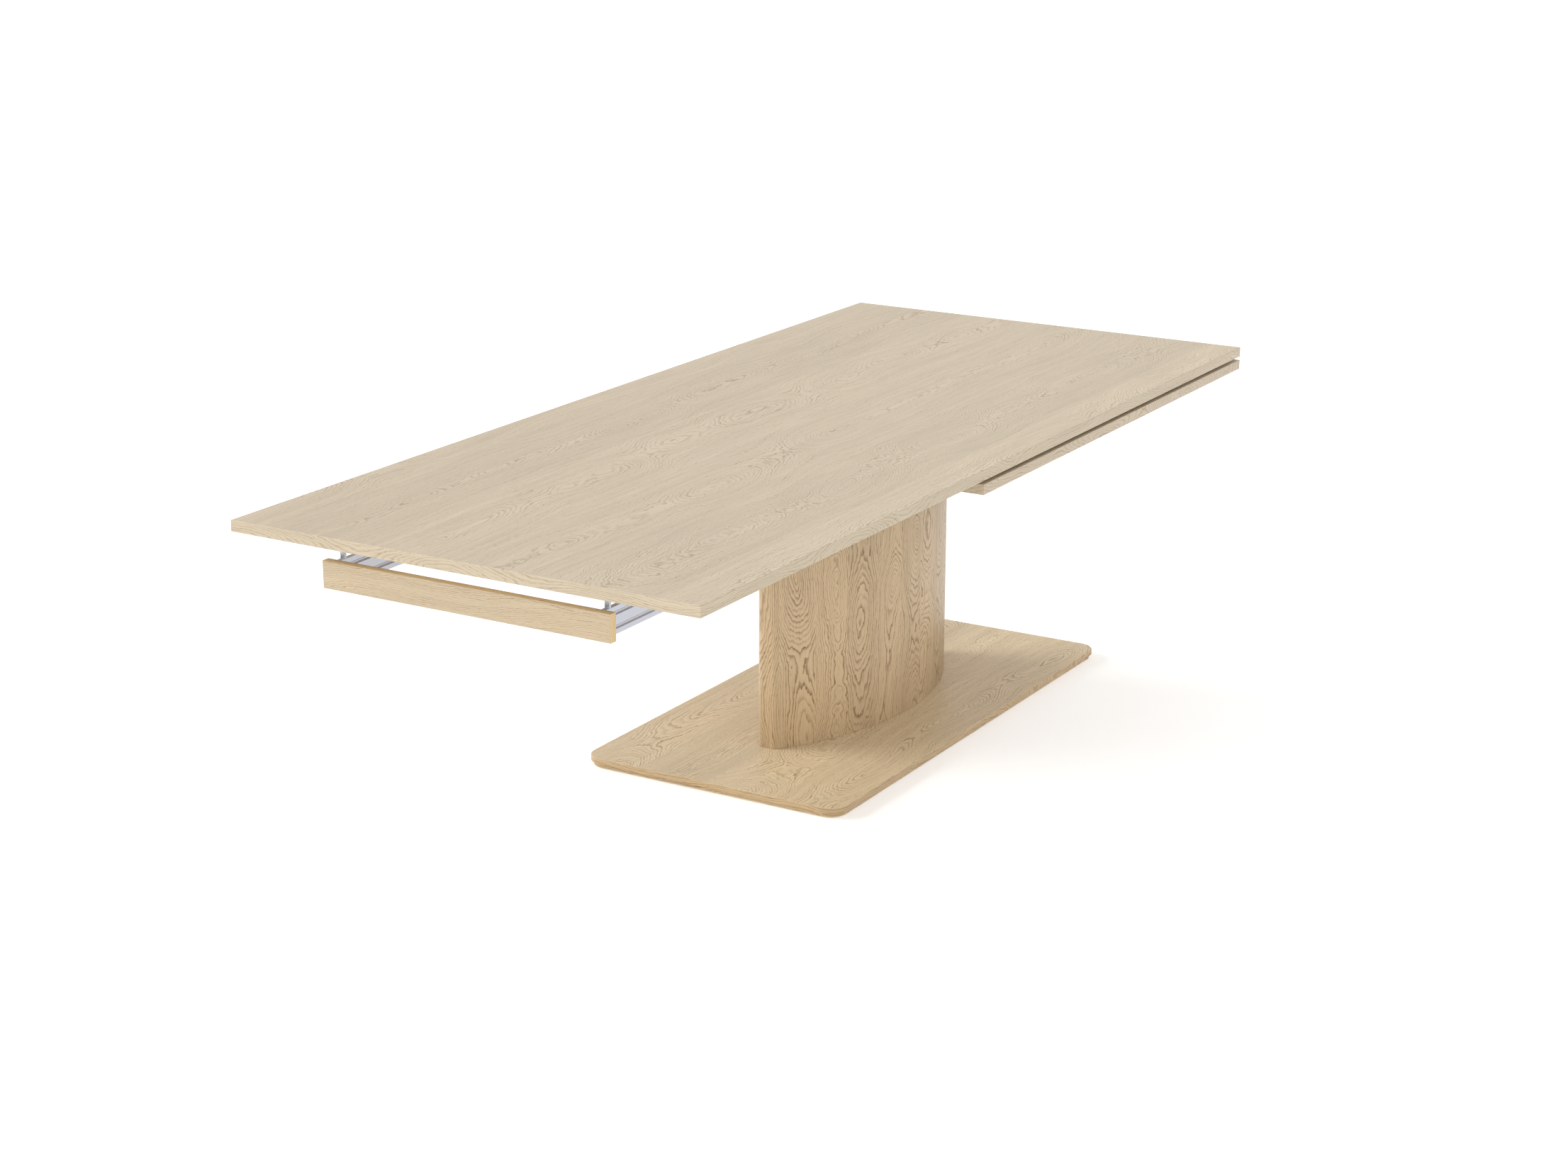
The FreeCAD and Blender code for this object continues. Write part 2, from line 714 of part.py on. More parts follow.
def support_beams():
    half = d.beam_length / 2
    blank = box("support_beam_blank", (-half, beam_inner, beam_low), (half, beam_outer, beam_high))
    spots = beam_bolt_spots(d.beam_offset)
    cuts = holes("support_beam_hole", spots, d.bolt_radius + d.hole_play, beam_low, beam_high)
    cuts += holes("support_beam_seat", spots, d.bolt_head_radius + d.hole_play,
                  beam_high - d.bolt_head, beam_high)
    bush_low = pinion_low - d.bush_flange - d.bush_play
    bush_high = pinion_high + d.bush_flange + d.bush_play
    window = larger(d.window_half, pitch_radius + addendum + d.window_play)
    cuts.append(box("pinion_window", (-window, beam_inner, bush_low),
                    (window, beam_outer, bush_high)))
    cuts.append(rod("axle_hole", d.axle_radius, (0, d.beam_offset, beam_low), d.beam_height))
    left = node("support_beam_left", cut("support_beam_left", blank, cuts))
    mirrored("support_beam_right", left)
    axle = rod("pinion_axle_left", d.axle_radius, (0, d.beam_offset, beam_low), d.beam_height)
    mirrored("pinion_axle_right", node("pinion_axle_left", axle))


def glide_outline():
    """Section of a glide across the beam: back at u = 0, two ribs and a channel for the rack."""
    face = rail_standoff - beam_half - d.glide_face_play
    channel = rail_standoff - rack_depth - d.glide_channel_back - beam_half
    low = d.glide_edge
    high = d.rail_height - d.glide_edge
    rib = d.groove_radius - d.glide_rib_play
    proud = d.groove_radius - d.groove_depth - d.glide_face_play
    rib_half = root(rib * rib - proud * proud)
    groove = d.rail_band + groove_half()
    upper_groove = d.rail_height - groove
    channel_low = d.rack_rise - d.glide_channel
    channel_high = d.rack_rise + d.rack_height + d.glide_channel
    return [
        (0, low), (face, low), (face, groove - rib_half),
        (face, groove + rib_half, rib, False),
        (face, channel_low), (channel, channel_low), (channel, channel_high),
        (face, channel_high), (face, upper_groove - rib_half),
        (face, upper_groove + rib_half, rib, False),
        (face, high), (0, high),
    ]


def turned_about(corners):
    """The same section facing the other way, with its arcs reversed."""
    turned = []
    for u, v, *bend in corners:
        if bend:
            radius, clockwise = bend
            bend = [radius, not clockwise]
        turned.append((-size(u), v, *bend))
    return turned


def glides():
    """Four glides on each face of each support beam, at the ends and beside the cross beams."""
    reach = (d.beam_length - d.glide_length) / 2
    starts = [place - d.glide_length / 2 for place in shares(-reach, reach, 4)]
    outer = []
    inner = []
    for number, start in enumerate(starts, start=1):
        # The outer glides face +Y. The inner ones are the same turned about, for the leaf's rail.
        outer.append(padded("glide_outer_%d" % number, "YZ_Plane", [glide_outline()],
                            d.glide_length, (start, beam_outer, top_rail_low)))
        inner.append(padded("glide_inner_%d" % number, "YZ_Plane", [turned_about(glide_outline())],
                            d.glide_length, (start, beam_inner, leaf_rail_low)))
    for label, pieces in (("outer_glides", outer), ("inner_glides", inner)):
        left = node(label + "_left", bundle(label + "_left", pieces))
        mirrored(label + "_right", left)


# Rails and racks

def groove_half():
    """Half the mouth of a rail groove."""
    centre = d.groove_radius - d.groove_depth
    return root(d.groove_radius * d.groove_radius - centre * centre)


def rail_outline():
    """Section of a rail, the same on both faces: band, groove, web, groove, band."""
    mouth = 2 * groove_half()
    lower = d.rail_band + mouth
    upper = d.rail_height - d.rail_band
    radius = d.groove_radius
    thick = d.rail_thick
    return [
        (0, 0), (thick, 0),
        (thick, d.rail_band), (thick, lower, radius, True),
        (thick, upper - mouth), (thick, upper, radius, True),
        (thick, d.rail_height), (0, d.rail_height),
        (0, upper), (0, upper - mouth, radius, True),
        (0, lower), (0, d.rail_band, radius, True),
    ]


def rails():
    for label, near, far, inner, low in (
        ("top_rail", top_rail_near, top_rail_far, top_rail_face, top_rail_low),
        ("leaf_rail", leaf_rail_near, leaf_rail_far, leaf_rail_inner, leaf_rail_low),
    ):
        left = padded(label + "_left", "YZ_Plane", [rail_outline()], far - near, (near, inner, low))
        mirrored(label + "_right", node(label + "_left", left))


def top_rack():
    """The left top rail's rack. Tooth spaces lie on whole pitches from the pinion's middle."""
    # One space more than the travel needs at each end, so that the pinion never runs out.
    spaces_near = rounded_up(opened / tooth_pitch) + 1
    spaces_far = rounded_up(travel_left / tooth_pitch) + 1
    start = -opened - d.rack_stop - d.rack_stop_length
    end = travel_left + d.rack_stop + d.rack_stop_length
    body = padded("top_rack_left", "XY_Plane", [rectangle(start, end, -rack_depth, 0)],
                  d.rack_height, (0, top_rail_face, rack_low))
    slope = tangent(d.pressure_angle)
    half_space = tooth_pitch / 4 + d.backlash / 2
    above = addendum + CUT_SPARE
    first = -tooth_pitch * spaces_near
    tip_half = half_space + above * slope
    foot_half = half_space - dedendum * slope
    tip_line = -rack_depth - CUT_SPARE
    foot_line = addendum + dedendum - rack_depth
    space = outline(body, "rack_space", "XY_Plane", [
        (first - tip_half, tip_line), (first + tip_half, tip_line),
        (first + foot_half, foot_line), (first - foot_half, foot_line),
    ])
    pocket = body.newObject("PartDesign::Pocket", "rack_space_pocket")
    pocket.Profile = space
    pocket.Type = "ThroughAll"
    pocket.Reversed = True
    doc.recompute()
    row = body.newObject("PartDesign::LinearPattern", "rack_space_row")
    row.Originals = [pocket]
    row.Direction = (space, ["H_Axis"])
    bind(row, "Length", tooth_pitch * (spaces_near + spaces_far))
    bind(row, "Occurrences", spaces_near + spaces_far + 1)
    body.Tip = row
    doc.recompute()
    return body


def racks():
    """The leaf's rack is the top's, turned half round about the pinion's axle."""
    left = node("top_rack_left", top_rack())
    mirrored("top_rack_right", left)
    turned = bundle("leaf_rack_left", [left])
    turned.Placement = FreeCAD.Placement(
        FreeCAD.Vector(), FreeCAD.Rotation(FreeCAD.Vector(0, 0, 1), 180))
    bind(turned, "Placement.Base.y", 2 * d.beam_offset)
    bind(turned, "Placement.Base.z", d.rail_clear)
    mirrored("leaf_rack_right", node("leaf_rack_left", turned))


def involute(angle):
    return math.tan(angle) - angle


def tooth_flank(base_radius, low, high, half_angle):
    """Points up one flank of a tooth that stands along +Y, at radii from low to high."""
    points = []
    for number in range(FLANK_STEPS + 1):
        radius = low + (high - low) * number / FLANK_STEPS
        turn = half_angle - involute(math.acos(base_radius / radius))
        points.append(FreeCAD.Vector(radius * math.sin(turn), radius * math.cos(turn), 0))
    return points


def pinion_shape():
    """An involute pinion with a tooth along +Y and another along -Y.

    Its flanks are involutes, which neither a sketch nor a primitive holds exactly.
    """
    teeth = int(pinion_teeth.value)
    pressure = math.radians(sheet.pressure_angle)
    pitch = pitch_radius.value
    base_radius = pitch * math.cos(pressure)
    tip = pitch + addendum.value
    foot = pitch - dedendum.value
    half_angle = (tooth_pitch.value / 2 - sheet.backlash) / 2 / pitch + involute(pressure)
    right = tooth_flank(base_radius, base_radius + TOGETHER, tip, half_angle)
    left = [FreeCAD.Vector(-point.x, point.y, 0) for point in right]
    foot_turn = math.atan2(right[0].x, right[0].y)
    foot_right = FreeCAD.Vector(foot * math.sin(foot_turn), foot * math.cos(foot_turn), 0)
    edges = []
    for number in range(teeth):
        turn = FreeCAD.Placement(FreeCAD.Vector(), FreeCAD.Rotation(
            FreeCAD.Vector(0, 0, 1), -360 * number / teeth))
        following = FreeCAD.Placement(FreeCAD.Vector(), FreeCAD.Rotation(
            FreeCAD.Vector(0, 0, 1), -360 * (number + 1) / teeth))
        foot_left = FreeCAD.Vector(-foot_right.x, foot_right.y, 0)
        rising = Part.BSplineCurve()
        rising.interpolate([turn.multVec(point) for point in left])
        falling = Part.BSplineCurve()
        falling.interpolate([turn.multVec(point) for point in reversed(right)])
        valley = turn.multVec(FreeCAD.Vector(
            foot * math.sin(math.pi / teeth), foot * math.cos(math.pi / teeth), 0))
        edges += [
            Part.LineSegment(turn.multVec(foot_left), turn.multVec(left[0])).toShape(),
            rising.toShape(),
            Part.Arc(turn.multVec(left[-1]), turn.multVec(FreeCAD.Vector(0, tip, 0)),
                     turn.multVec(right[-1])).toShape(),
            falling.toShape(),
            Part.LineSegment(turn.multVec(right[0]), turn.multVec(foot_right)).toShape(),
            Part.Arc(turn.multVec(foot_right), valley, following.multVec(foot_left)).toShape(),
        ]
    face = Part.Face(Part.Wire(edges))
    solid = face.extrude(FreeCAD.Vector(0, 0, sheet.rack_height))
    bore = Part.makeCylinder(
        sheet.axle_radius + sheet.axle_play + sheet.bush_wall, sheet.rack_height)
    return solid.cut(bore)


def pinions():
    pinion = doc.addObject("Part::Feature", "pinion_left")
    pinion.Shape = pinion_shape()
    bind(pinion, "Placement.Base.y", d.beam_offset)
    bind(pinion, "Placement.Base.z", pinion_low)
    mirrored("pinion_right", node("pinion_left", pinion))
    bore = d.axle_radius + d.axle_play
    bush_low = pinion_low - d.bush_flange
    bush_length = d.rack_height + 2 * d.bush_flange
    ring = rod("pinion_bush_ring", bore + d.bush_wall, (0, d.beam_offset, bush_low), bush_length)
    hollow = rod("pinion_bush_bore", bore, (0, d.beam_offset, bush_low), bush_length)
    bush = cut("pinion_bush_left", ring, [hollow])
    mirrored("pinion_bush_right", node("pinion_bush_left", bush))


# Top and what travels with it

def stiffener_screw_spots(side):
    low = top_near + d.stiffener_inset + d.stiffener_screw_near
    high = top_far - d.stiffener_inset - d.stiffener_screw_far
    return [(x, side) for x in shares(low, high, 8)]


def pin_sides():
    return (-d.pin_side, size(0), d.pin_side)


def table_top():
    board = padded(
        "table_top_blank", "XY_Plane",
        [rectangle(top_near, top_far, -half_width, half_width)], d.top_thick, (0, 0, top_low),
    )
    eased(board, d.arris, is_level)
    hole = d.screw_radius + d.hole_play
    cuts = []
    for name, side in (("left", rail_middle), ("right", -rail_middle)):
        cuts += holes("top_screw_hole_" + name, stiffener_screw_spots(side), hole,
                      top_low, top_low + d.screw_bite + d.screw_hole_spare)
    lift = top_low + d.top_thick - d.leaf_thick / 2
    for number, side in enumerate(pin_sides(), start=1):
        depth = d.pin_reach + d.pin_hole_spare
        cuts.append(rod("pin_hole_%d" % number, d.pin_radius + d.pin_hole_play,
                        (top_far - depth, side, lift), depth, "x"))
    node("table_top", cut("table_top", board, cuts))


def stiffeners():
    """Steel flats under the top, in the gap above the leaf, that the posts are welded to."""
    half = d.stiffener_width / 2
    blank = box("stiffener_blank",
                (top_near + d.stiffener_inset, rail_middle - half, top_low - d.stiffener_thick),
                (top_far - d.stiffener_inset, rail_middle + half, top_low))
    spots = stiffener_screw_spots(rail_middle)
    low = top_low - d.stiffener_thick
    cuts = holes("stiffener_hole", spots, d.screw_radius + d.hole_play, low, top_low)
    cuts += holes("stiffener_seat", spots, d.screw_head_radius + d.hole_play,
                  low, low + d.screw_head)
    left = node("stiffener_left", cut("stiffener_left", blank, cuts))
    mirrored("stiffener_right", left)
    everywhere = spots + stiffener_screw_spots(-rail_middle)
    fasteners("top_screws", everywhere, low, d.stiffener_thick + d.screw_bite,
              d.screw_radius, d.screw_head_radius, d.screw_head)


def posts():
    for where, middle in (
        ("near", top_rail_near + d.post_inset),
        ("middle", top_near + d.mid_post_inset),
    ):
        label = "post_" + where
        left = box(label + "_left",
                   (middle - d.post_thick / 2, rail_middle - d.post_width / 2, top_rail_high),
                   (middle + d.post_thick / 2, rail_middle + d.post_width / 2,
                    top_low - d.stiffener_thick))
        mirrored(label + "_right", node(label + "_left", left))


def front_panel():
    half = d.panel_width / 2
    panel = padded(
        "front_panel", "XY_Plane",
        [rectangle(-d.panel_thick, 0, -half, half)],
        top_rail_high - top_rail_low + d.panel_drop,
        (top_rail_near, 0, top_rail_low - d.panel_drop),
    )
    node("front_panel", eased(panel, d.arris / 2, is_outer_face_edge))
    low = top_rail_low + d.bracket_rise
    high = low + d.bracket_height
    leg = d.bracket_leg
    along = box("panel_bracket_along", (top_rail_near, top_rail_face - d.bracket_thick, low),
                (top_rail_near + leg, top_rail_face, high))
    across = box("panel_bracket_across", (top_rail_near, top_rail_face - leg, low),
                 (top_rail_near + d.bracket_thick, top_rail_face, high))
    left = node("panel_bracket_left", joined("panel_bracket_left", (along, across)))
    mirrored("panel_bracket_right", left)


def is_outer_face_edge(edge):
    """Edges of the panel's front face."""
    return edge.BoundBox.XMax < -d.panel_thick.value + TOGETHER


def top_pads():
    """Glide pads under the top, which run over the leaf."""
    places = shares(top_far - d.glide_pad_near, top_far - d.glide_pad_far, 3)
    height = d.plate_gap - d.glide_pad_play
    pads = [
        rod("top_pad_%d" % number, d.glide_pad_radius, (x, y, top_low - height), height)
        for number, (x, y) in enumerate(both_sides(places, d.glide_pad_side), start=1)
    ]
    node("top_glide_pads", bundle("top_glide_pads", pads))


# Leaf and what travels with it

def leaf_bracket_starts():
    half = d.leaf_bracket_width / 2
    inset = d.leaf_bracket_inset
    return [x - half for x in shares(leaf_near + inset, leaf_rail_far - inset, 4)]


def leaf_screw_spots():
    middle = d.leaf_bracket_width / 2
    side = leaf_rail_inner - d.leaf_screw_side
    return both_sides([start + middle for start in leaf_bracket_starts()], side)


def leaf_board():
    board = padded(
        "leaf_blank", "XY_Plane",
        [rectangle(leaf_near, leaf_far, -half_width, half_width)], d.leaf_thick, (0, 0, leaf_low),
    )
    eased(board, d.arris, is_level)
    middle = leaf_low + d.leaf_thick / 2
    cuts = [
        rod("pin_root_%d" % number, d.pin_radius + d.hole_play,
            (leaf_near, side, middle), d.pin_root, "x")
        for number, side in enumerate(pin_sides(), start=1)
    ]
    cuts += holes("leaf_screw_hole", leaf_screw_spots(), d.screw_radius + d.hole_play,
                  leaf_low, leaf_low + d.screw_bite + d.screw_hole_spare)
    node("leaf_board", cut("leaf_board", board, cuts))
    pins = [
        rod("leaf_pin_%d" % number, d.pin_radius,
            (leaf_near - d.pin_reach, side, middle), d.pin_reach + d.pin_root, "x")
        for number, side in enumerate(pin_sides(), start=1)
    ]
    node("leaf_pins", bundle("leaf_pins", pins))


def leaf_brackets():
    """Angles that hold the leaf on its rails, with a screw in each."""
    thick = d.bracket_thick
    leg = d.bracket_leg
    seat = d.screw_radius + d.hole_play
    pieces = []
    for number, start in enumerate(leaf_bracket_starts(), start=1):
        end = start + d.leaf_bracket_width
        for side in (1, -1):
            name = "leaf_bracket_%d_%s" % (number, "left" if side > 0 else "right")
            rail = side * leaf_rail_inner
            inner = (rail - thick, rail) if side > 0 else (rail, rail + thick)
            outer = (rail - leg, rail) if side > 0 else (rail, rail + leg)
            upright = box(name + "_upright", (start, inner[0], leaf_low - leg),
                          (end, inner[1], leaf_low))
            flat = box(name + "_flat", (start, outer[0], leaf_low - thick),
                       (end, outer[1], leaf_low))
            spot = (start + d.leaf_bracket_width / 2, rail - side * d.leaf_screw_side)
            angle = joined(name + "_angle", (upright, flat))
            pieces.append(cut(name, angle, holes(name + "_hole", [spot], seat,
                                                 leaf_low - thick, leaf_low)))
    node("leaf_brackets", bundle("leaf_brackets", pieces))
    fasteners("leaf_screws", leaf_screw_spots(), leaf_low - thick - d.screw_head,
              d.screw_head + thick + d.screw_bite, d.screw_radius,
              d.screw_head_radius, d.screw_head)


def leaf_ties():
    high = leaf_low - d.tie_drop
    for label, start in (
        ("leaf_tie_near", leaf_rail_near),
        ("leaf_tie_far", leaf_rail_far - d.tie_thick),
    ):
        node(label, box(label, (start, -leaf_rail_inner, high - d.tie_height),
                        (start + d.tie_thick, leaf_rail_inner, high)))


def check_and_write():
    """Stop on anything that failed, then write each sub-part's shape."""
    doc.recompute()
    for thing in doc.Objects:
        if "Invalid" in thing.State or "Error" in thing.State:
            raise RuntimeError(thing.Label + " did not recompute")
    os.makedirs("parts", exist_ok=True)
    for thing in nodes:
        shape = thing.Shape
        if shape.isNull() or not shape.isValid() or not shape.Solids:
            raise RuntimeError(thing.Label + " has no sound shape")
        shape.exportStep(os.path.join("parts", thing.Label + ".step"))
    print("sub-parts written:", len(nodes))


base_plate()
column_frame()
column_formers()
column_skin()
cross_beams()
head_bolts()
support_beams()
beam_bolts()
glides()
rails()
racks()
pinions()
table_top()
stiffeners()
posts()
front_panel()
top_pads()
leaf_board()
leaf_brackets()
leaf_ties()
check_and_write()
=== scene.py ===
import math

import bmesh
import bpy
from mathutils import Matrix, Vector


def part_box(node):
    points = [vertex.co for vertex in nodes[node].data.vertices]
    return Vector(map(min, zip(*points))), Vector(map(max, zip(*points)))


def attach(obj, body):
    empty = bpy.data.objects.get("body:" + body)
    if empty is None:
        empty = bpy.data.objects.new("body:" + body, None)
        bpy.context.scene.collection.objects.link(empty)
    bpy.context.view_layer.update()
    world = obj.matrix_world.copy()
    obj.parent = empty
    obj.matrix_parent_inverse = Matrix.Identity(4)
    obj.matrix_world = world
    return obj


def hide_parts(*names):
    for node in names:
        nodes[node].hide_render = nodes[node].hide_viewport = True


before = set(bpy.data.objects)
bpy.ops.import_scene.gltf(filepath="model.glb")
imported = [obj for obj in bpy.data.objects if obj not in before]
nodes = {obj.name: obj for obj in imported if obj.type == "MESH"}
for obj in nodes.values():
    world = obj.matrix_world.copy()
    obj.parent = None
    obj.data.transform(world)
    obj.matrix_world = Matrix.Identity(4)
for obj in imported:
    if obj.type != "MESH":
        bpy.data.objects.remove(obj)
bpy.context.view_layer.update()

MM = 0.001

# ---------------------------------------------------------------- camera
# It stands at the near corner of the table, a little above the top.

HEADING = math.radians(59.294)  # from +Y towards +X
TILT = math.radians(16.656)  # below the horizon
ROLL = math.radians(0.127)
STAND = Vector((-5.562, -3.108, 2.253))

ahead = Vector((
    math.sin(HEADING) * math.cos(TILT),
    math.cos(HEADING) * math.cos(TILT),
    -math.sin(TILT),
))
level = Vector((math.cos(HEADING), -math.sin(HEADING), 0))
upward = level.cross(ahead)
right = level * math.cos(ROLL) + upward * math.sin(ROLL)
above = upward * math.cos(ROLL) - level * math.sin(ROLL)
camera_data = bpy.data.cameras.new("camera")
camera_data.lens = 65.5
camera_data.sensor_width = 36
camera_data.shift_y = -0.01356
camera = bpy.data.objects.new("camera", camera_data)
turn = Matrix((right, above, -ahead)).transposed().to_4x4()
camera.matrix_world = Matrix.Translation(STAND) @ turn
bpy.context.scene.collection.objects.link(camera)
bpy.context.scene.camera = camera


# ---------------------------------------------------------------- colours and nodes

def colour(code):
    """An sRGB hex colour as linear red, green, blue and alpha."""
    parts = [int(code[place:place + 2], 16) / 255 for place in (1, 3, 5)]
    linear = [
        part / 12.92 if part <= 0.04045 else ((part + 0.055) / 1.055) ** 2.4
        for part in parts
    ]
    return (*linear, 1)


def add(tree, kind, links=None, out=0, **settings):
    """Adds a node with its settings, sets or links its inputs, and gives one output."""
    made = tree.nodes.new(kind)
    for name, value in settings.items():
        setattr(made, name, value)
    for name, value in (links or {}).items():
        if isinstance(value, bpy.types.NodeSocket):
            tree.links.new(value, made.inputs[name])
        else:
            made.inputs[name].default_value = value
    return made.outputs[out] if len(made.outputs) else made


def ramp(tree, factor, stops):
    """A colour ramp over stops of place and grey value."""
    made = add(tree, "ShaderNodeValToRGB", {"Fac": factor}).node
    for place, grey in stops[1:-1]:
        made.color_ramp.elements.new(place)
    for element, (place, grey) in zip(made.color_ramp.elements, stops):
        element.position = place
        element.color = (grey, grey, grey, 1)
    return made.outputs["Color"]


def group_of(name, inputs, outputs, family="ShaderNodeTree"):
    """An empty node group with its sockets."""
    tree = bpy.data.node_groups.new(name, family)
    for label, kind, value in inputs:
        socket = tree.interface.new_socket(label, in_out="INPUT", socket_type=kind)
        if value is not None:
            socket.default_value = value
    for label, kind in outputs:
        tree.interface.new_socket(label, in_out="OUTPUT", socket_type=kind)
    return tree, tree.nodes.new("NodeGroupInput"), tree.nodes.new("NodeGroupOutput")


def veneer_group():
    """Flat-cut oak veneer in leaves laid side by side, worked out in millimetres.

    A year ring is a shell round the heart line of its leaf, so it shows as an
    arch where the cut runs near the heart and as straight lines beside it."""
    tree, start, end = group_of("oak veneer", (
        ("Along", "NodeSocketFloat", 0),
        ("Across", "NodeSocketFloat", 0),
        ("Leaf width", "NodeSocketFloat", 228),
        ("Straight", "NodeSocketFloat", 0),
        ("Ring width", "NodeSocketFloat", 7),
        ("Figure", "NodeSocketFloat", 0.5),
        ("Pores", "NodeSocketFloat", 0.4),
        ("Pale", "NodeSocketColor", (1, 1, 1, 1)),
        ("Brown", "NodeSocketColor", (0, 0, 0, 1)),
    ), (
        ("Colour", "NodeSocketColor"),
        ("Roughness", "NodeSocketFloat"),
        ("Height", "NodeSocketFloat"),
    ))
    given = start.outputs
    share = add(tree, "ShaderNodeMath", {0: given["Across"], 1: given["Leaf width"]},
                operation="DIVIDE")
    leaf = add(tree, "ShaderNodeMath", {0: share}, operation="FLOOR")
    middle = add(tree, "ShaderNodeMath", {0: share}, operation="FRACT")
    middle = add(tree, "ShaderNodeMath", {0: middle, 1: 0.5}, operation="SUBTRACT")
    local = add(tree, "ShaderNodeMath", {0: middle, 1: given["Leaf width"]},
                operation="MULTIPLY")
    seed = add(tree, "ShaderNodeMath", {0: leaf, 1: 7.31, 2: 2.4}, operation="MULTIPLY_ADD")
    chance = add(tree, "ShaderNodeTexWhiteNoise", {"W": seed}, "Color",
                 noise_dimensions="1D")
    chance = add(tree, "ShaderNodeSeparateColor", {"Color": chance}).node.outputs
    along = add(tree, "ShaderNodeMath", {0: chance["Red"], 1: 5000, 2: given["Along"]},
                operation="MULTIPLY_ADD")

    def grain_noise(length, width, detail=2.0):
        """Noise drawn out along the grain, from 0 to 1."""
        place = add(tree, "ShaderNodeCombineXYZ", {
            "X": add(tree, "ShaderNodeMath", {0: along, 1: 1 / length}, operation="MULTIPLY"),
            "Y": add(tree, "ShaderNodeMath", {0: given["Across"], 1: 1 / width},
                     operation="MULTIPLY"),
            "Z": seed,
        })
        return add(tree, "ShaderNodeTexNoise",
                   {"Vector": place, "Scale": 1, "Detail": detail, "Roughness": 0.5},
                   "Fac", noise_dimensions="3D")

    # The heart line wanders, and the cut comes nearer to it and leaves it again.
    wander = add(tree, "ShaderNodeMapRange",
                 {"Value": grain_noise(620, 5000, 1), "From Min": 0.2, "From Max": 0.8,
                  "To Min": -55, "To Max": 55})
    heart = add(tree, "ShaderNodeMath", {0: local, 1: wander}, operation="SUBTRACT")
    heart = add(tree, "ShaderNodeMath", {0: heart, 1: given["Straight"]}, operation="ADD")
    cut = add(tree, "ShaderNodeMapRange",
              {"Value": grain_noise(440, 4000, 1), "From Min": 0.3, "From Max": 0.7,
               "To Min": -34, "To Max": 88})
    # In some leaves the cut skims the heart, which gives a row of small ripples.
    skim = add(tree, "ShaderNodeMath", {0: chance["Blue"], 1: 3}, operation="POWER")
    skim = add(tree, "ShaderNodeMath", {0: skim, 1: 26}, operation="MULTIPLY")
    cut = add(tree, "ShaderNodeMath", {0: grain_noise(30, 4000, 1), 1: skim, 2: cut},
              operation="MULTIPLY_ADD")
    heart = add(tree, "ShaderNodeMath", {0: heart, 1: heart}, operation="MULTIPLY")
    cut = add(tree, "ShaderNodeMath", {0: cut, 1: cut, 2: heart}, operation="MULTIPLY_ADD")
    radius = add(tree, "ShaderNodeMath", {0: cut}, operation="SQRT")
    # Slow bends of the rings, and the short ripple that makes them feathery.
    bend = add(tree, "ShaderNodeMath", {0: grain_noise(120, 26), 1: 13, 2: radius},
               operation="MULTIPLY_ADD")
    ripple = add(tree, "ShaderNodeMath", {0: grain_noise(17, 5), 1: 3.4, 2: bend},
                 operation="MULTIPLY_ADD")
    phase = add(tree, "ShaderNodeMath", {0: ripple, 1: given["Ring width"]},
                operation="DIVIDE")
    year = add(tree, "ShaderNodeMath", {0: phase}, operation="FLOOR")
    part = add(tree, "ShaderNodeMath", {0: phase}, operation="FRACT")
    year = add(tree, "ShaderNodeMath", {0: year, 1: 3.7, 2: seed}, operation="MULTIPLY_ADD")
    strength = add(tree, "ShaderNodeTexWhiteNoise", {"W": year}, "Value",
                   noise_dimensions="1D")
    strength = add(tree, "ShaderNodeMath", {0: strength, 1: 0.6, 2: 0.4},
                   operation="MULTIPLY_ADD")
    spring = ramp(tree, part, ((0, 0), (0.08, 1), (0.22, 0.75), (0.45, 0.15), (0.8, 0), (1, 0)))
    spring = add(tree, "ShaderNodeMath", {0: spring, 1: strength}, operation="MULTIPLY")
    # Open pores: rows of dashes 1 mm wide, drawn coarser than the real 0.3 mm.
    pores = add(tree, "ShaderNodeMapRange",
                {"Value": grain_noise(11, 1.0, 1), "From Min": 0.5, "From Max": 0.66})
    crowd = add(tree, "ShaderNodeMath", {0: spring, 1: 0.8, 2: 0.2},
                operation="MULTIPLY_ADD")
    pores = add(tree, "ShaderNodeMath", {0: pores, 1: crowd}, operation="MULTIPLY")
    fibre = add(tree, "ShaderNodeMath", {0: grain_noise(120, 1.5), 1: 0.5},
                operation="SUBTRACT")
    dark = add(tree, "ShaderNodeMath", {0: spring, 1: given["Figure"]}, operation="MULTIPLY")
    dark = add(tree, "ShaderNodeMath", {0: pores, 1: given["Pores"], 2: dark},
               operation="MULTIPLY_ADD")
    dark = add(tree, "ShaderNodeMath", {0: fibre, 1: 0.5, 2: dark},
               operation="MULTIPLY_ADD", use_clamp=True)
    shade = add(tree, "ShaderNodeMix", {0: dark, 6: given["Pale"], 7: given["Brown"]}, 2,
                data_type="RGBA")
